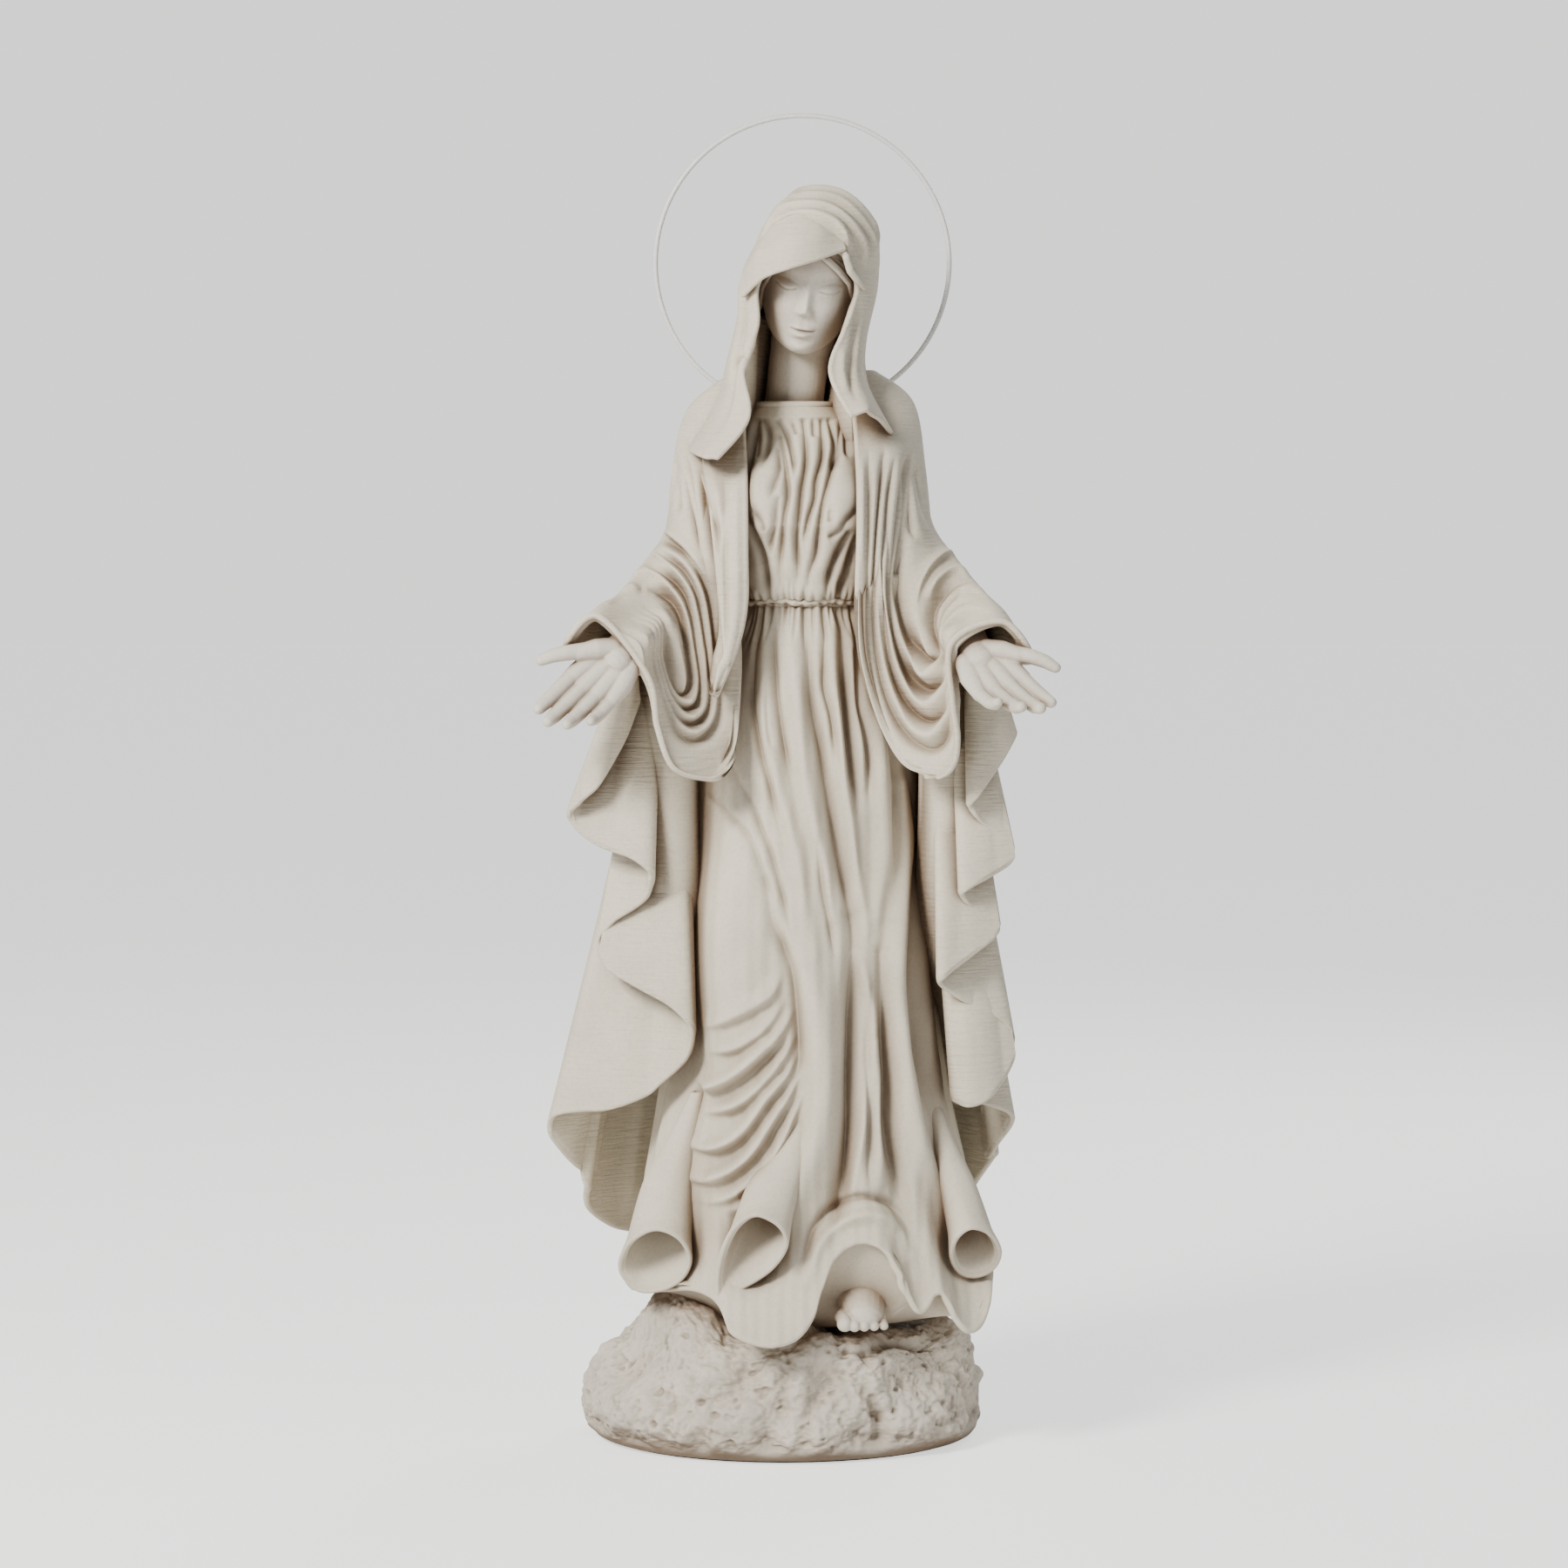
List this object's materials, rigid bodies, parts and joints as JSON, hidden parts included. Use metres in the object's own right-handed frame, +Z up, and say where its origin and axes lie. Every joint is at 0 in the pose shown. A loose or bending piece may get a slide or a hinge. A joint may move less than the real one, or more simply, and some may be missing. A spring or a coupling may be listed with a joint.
{
  "type": "garden statue of a veiled standing figure",
  "caption": "Life-like standing figure in a gown, mantle and veil, arms held out low with open palms, on a rock base, with a wire halo that lifts off.",
  "frame": {"origin": "middle of the base plate's underside, on the ground", "axes": "+Z up, the figure faces -Y, and +X is to the right of someone facing it"},
  "size_m": [0.5606, 0.4777, 1.4988],
  "materials": {
    "stone_resin": "matt, warm ivory, slightly darker in the hollows",
    "rock_resin": "matt, rough and pitted, ivory and grey-brown",
    "halo_metal": "white paint, satin",
    "steel": "plain zinc-plated",
    "brass": "satin",
    "base_board": "matt black sheet",
    "rubber": "matt"
  },
  "bodies": {
    "statue": {"gown_shell": "stone_resin", "mantle_shell": "stone_resin", "veil_hood": "stone_resin", "head": "stone_resin", "left_hand": "stone_resin", "right_hand": "stone_resin", "foot": "stone_resin", "rock_base": "rock_resin", "base_plate": "base_board", "base_screw_1": "steel", "base_screw_2": "steel", "base_screw_3": "steel", "base_screw_4": "steel", "base_screw_5": "steel", "base_screw_6": "steel", "armature_post": "steel", "post_flange": "steel", "flange_bolt_1": "steel", "flange_bolt_2": "steel", "flange_bolt_3": "steel", "flange_bolt_4": "steel", "shoulder_bar": "steel", "neck_pin": "steel", "left_hand_dowel": "steel", "right_hand_dowel": "steel", "halo_socket": "brass"},
    "halo": {"halo_ring": "halo_metal", "halo_stem": "halo_metal"},
    "plug": {"ballast_plug": "rubber"}
  },
  "joints": [
    {"name": "halo_lift", "type": "slide", "parent": "statue", "child": "halo", "axis": [0, 0, 1], "range_m": [0, 0.07]},
    {"name": "plug_pull", "type": "slide", "parent": "statue", "child": "plug", "axis": [0, 0, -1], "range_m": [0, 0.04]}
  ]
}
